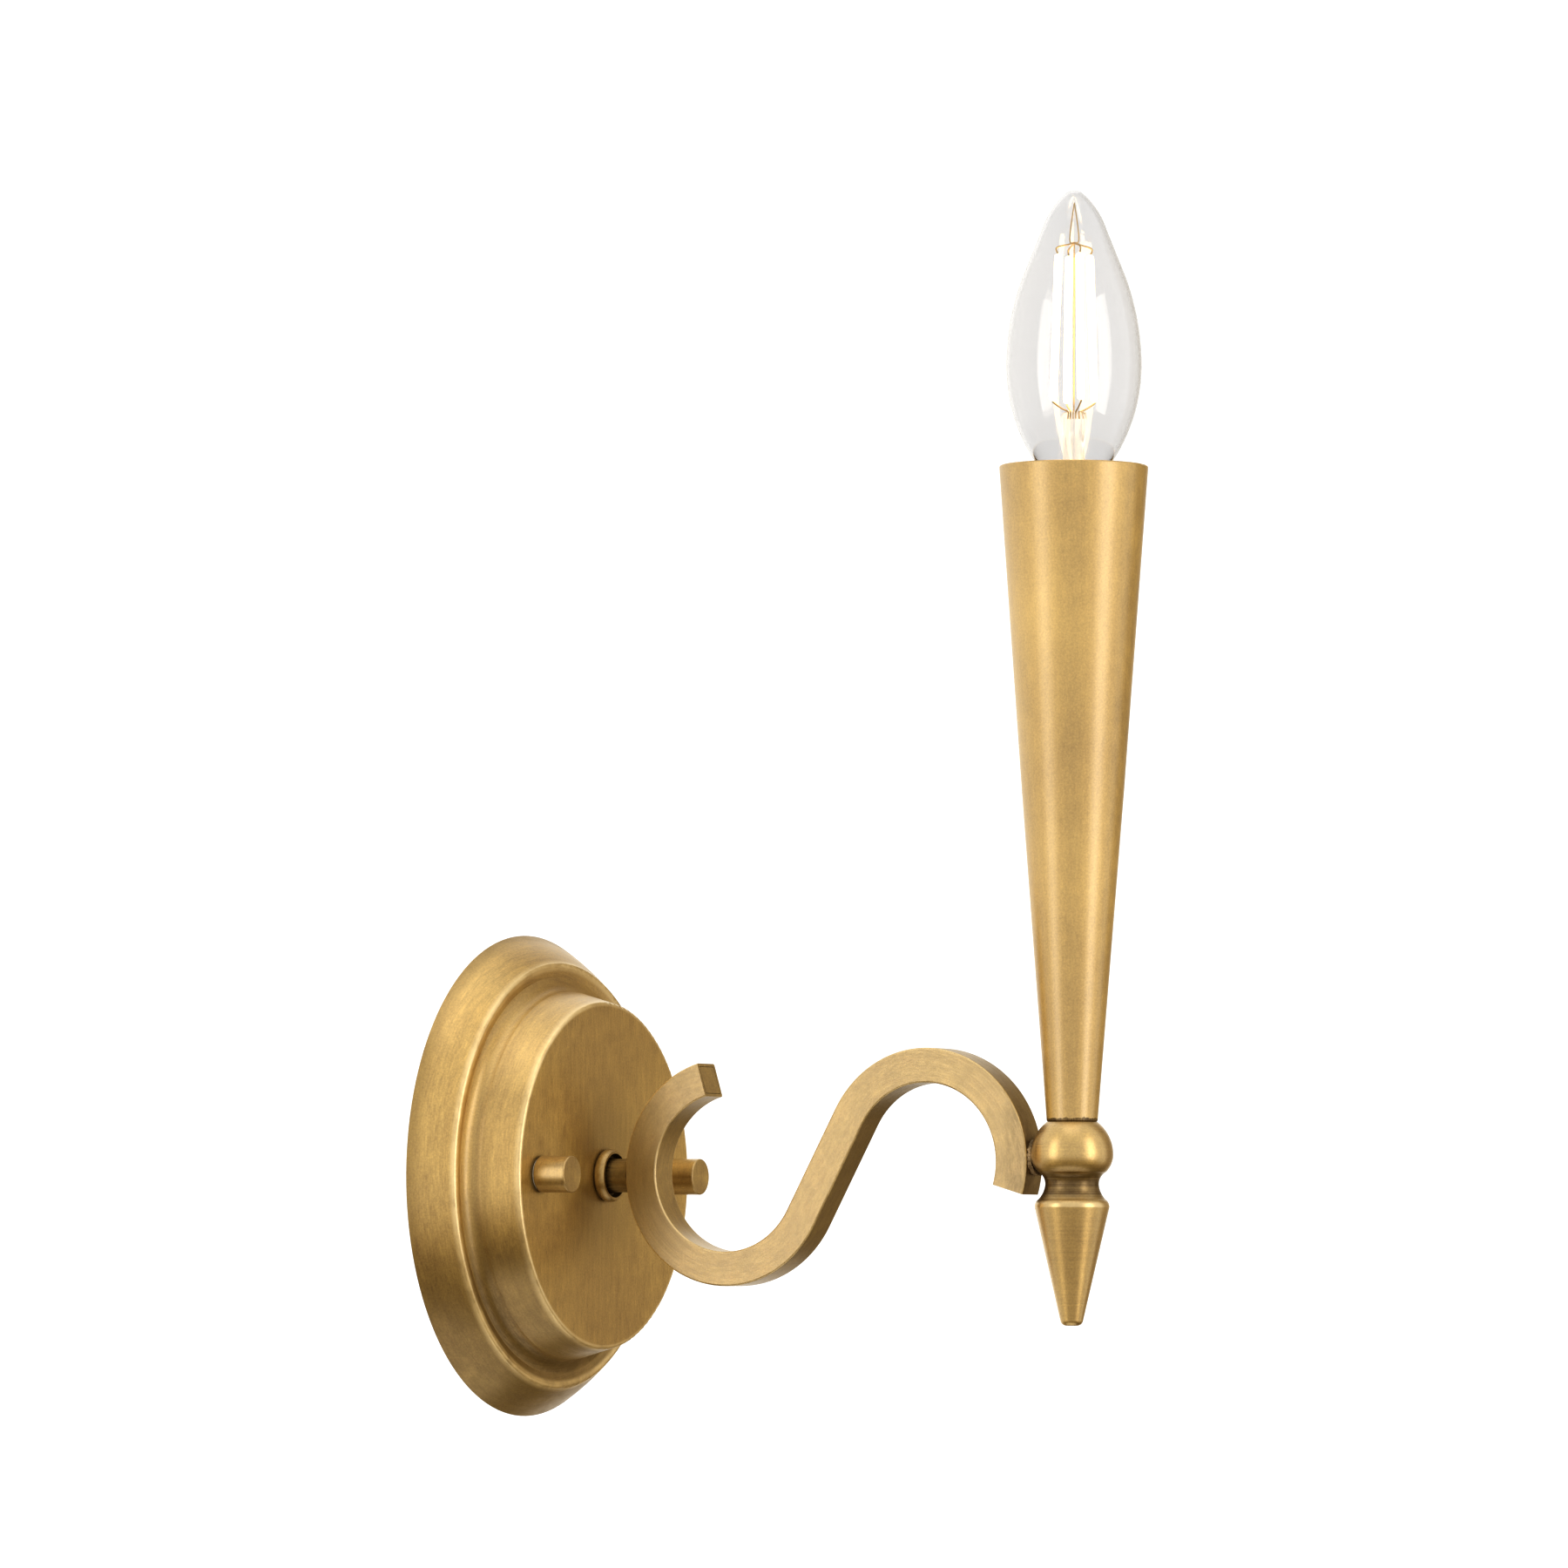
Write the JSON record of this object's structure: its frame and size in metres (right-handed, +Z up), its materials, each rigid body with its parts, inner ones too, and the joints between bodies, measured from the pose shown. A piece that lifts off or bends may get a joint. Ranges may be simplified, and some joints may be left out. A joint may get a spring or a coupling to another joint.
{
  "type": "wall sconce candle holder",
  "caption": "Brass wall sconce: round stepped backplate, S-shaped square arm, ball and drop finial, tall tapered candle cup that holds a small screw-in bulb.",
  "frame": {"origin": "centre of the backplate and crossbar on the wall's plane", "axes": "+Z up, +Y into the wall, so the sconce stands out along -Y; +X to the right of a person facing the wall"},
  "size_m": [0.127, 0.1796, 0.3172],
  "materials": {
    "plate_brass": "spun, brushed and aged, satin",
    "nut_brass": "turned and aged, satin",
    "arm_brass": "aged, softly worn edges, satin",
    "stem_brass": "turned and aged, satin",
    "cup_brass": "fine upright grain, aged, satin",
    "raw_brass": "plain",
    "braze": "rough brazing metal",
    "zinc_steel": "zinc plated",
    "green_steel": "green",
    "copper": "bare, dull",
    "nylon": "natural",
    "moulding": "moulded, slightly glossy",
    "black_insulation": "satin",
    "white_insulation": "satin",
    "clear_glass": "clear",
    "glow_coating": "warm, lit",
    "nickel": "nickel plated",
    "black_glass": "black, opaque"
  },
  "bodies": {
    "fixture": {"backplate": "plate_brass", "mounting_crossbar": "zinc_steel", "mounting_stud_left": "zinc_steel", "mounting_stud_right": "zinc_steel", "stud_lock_nut_left": "zinc_steel", "stud_lock_nut_right": "zinc_steel", "ground_screw": "green_steel", "ground_lead": "copper", "arm_nipple": "raw_brass", "canopy_washer": "zinc_steel", "canopy_nut": "zinc_steel", "centre_ring": "plate_brass", "neck_sleeve": "plate_brass", "arm_tube": "arm_brass", "arm_plug_curl": "arm_brass", "arm_plug_tip": "arm_brass", "stem_ball": "stem_brass", "finial": "stem_brass", "threaded_rod": "zinc_steel", "braze_collar": "braze", "candle_cup": "cup_brass", "cup_washer": "zinc_steel", "cup_nut": "raw_brass", "rod_nut": "zinc_steel", "socket_strap": "zinc_steel", "strap_screw": "zinc_steel", "socket_body": "moulding", "socket_screw_shell": "raw_brass", "socket_contact": "raw_brass", "terminal_rivets": "raw_brass", "black_lead": "black_insulation", "white_lead": "white_insulation"},
    "left_washer": {"nut_washer_left": "nylon"},
    "left_nut": {"cap_nut_left": "nut_brass"},
    "right_washer": {"nut_washer_right": "nylon"},
    "right_nut": {"cap_nut_right": "nut_brass"},
    "bulb_lift": {"bulb_contact": "nickel"},
    "bulb": {"bulb_glass": "clear_glass", "bulb_stem": "clear_glass", "glow_rods": "glow_coating", "bulb_support_wires": "nickel", "bulb_screw_cap": "nickel", "bulb_insulator": "black_glass"}
  },
  "joints": [
    {"name": "bulb_rise", "type": "slide", "parent": "fixture", "child": "bulb_lift", "axis": [0, 0, 1], "range_m": [0, 0.00889]},
    {"name": "bulb_turn", "type": "hinge", "parent": "bulb_lift", "child": "bulb", "pos_m": [0, -0.16044, 0.18], "axis": [0, 0, 1], "range_deg": [0, 1260]},
    {"name": "left_nut_travel", "type": "slide", "parent": "fixture", "child": "left_washer", "axis": [0, -1, 0], "range_m": [0, 0.00476]},
    {"name": "left_nut_turn", "type": "hinge", "parent": "left_washer", "child": "left_nut", "pos_m": [-0.03492, -0.0287, 0], "axis": [0, -1, 0], "range_deg": [0, 2160]},
    {"name": "right_nut_travel", "type": "slide", "parent": "fixture", "child": "right_washer", "axis": [0, -1, 0], "range_m": [0, 0.00476]},
    {"name": "right_nut_turn", "type": "hinge", "parent": "right_washer", "child": "right_nut", "pos_m": [0.03492, -0.0287, 0], "axis": [0, -1, 0], "range_deg": [0, 2160]}
  ],
  "couplings": [
    {"joint": "bulb_turn", "follows": "bulb_rise", "rad_per_m": 2473.7},
    {"joint": "left_nut_turn", "follows": "left_nut_travel", "rad_per_m": 7915.8},
    {"joint": "right_nut_turn", "follows": "right_nut_travel", "rad_per_m": 7915.8}
  ]
}
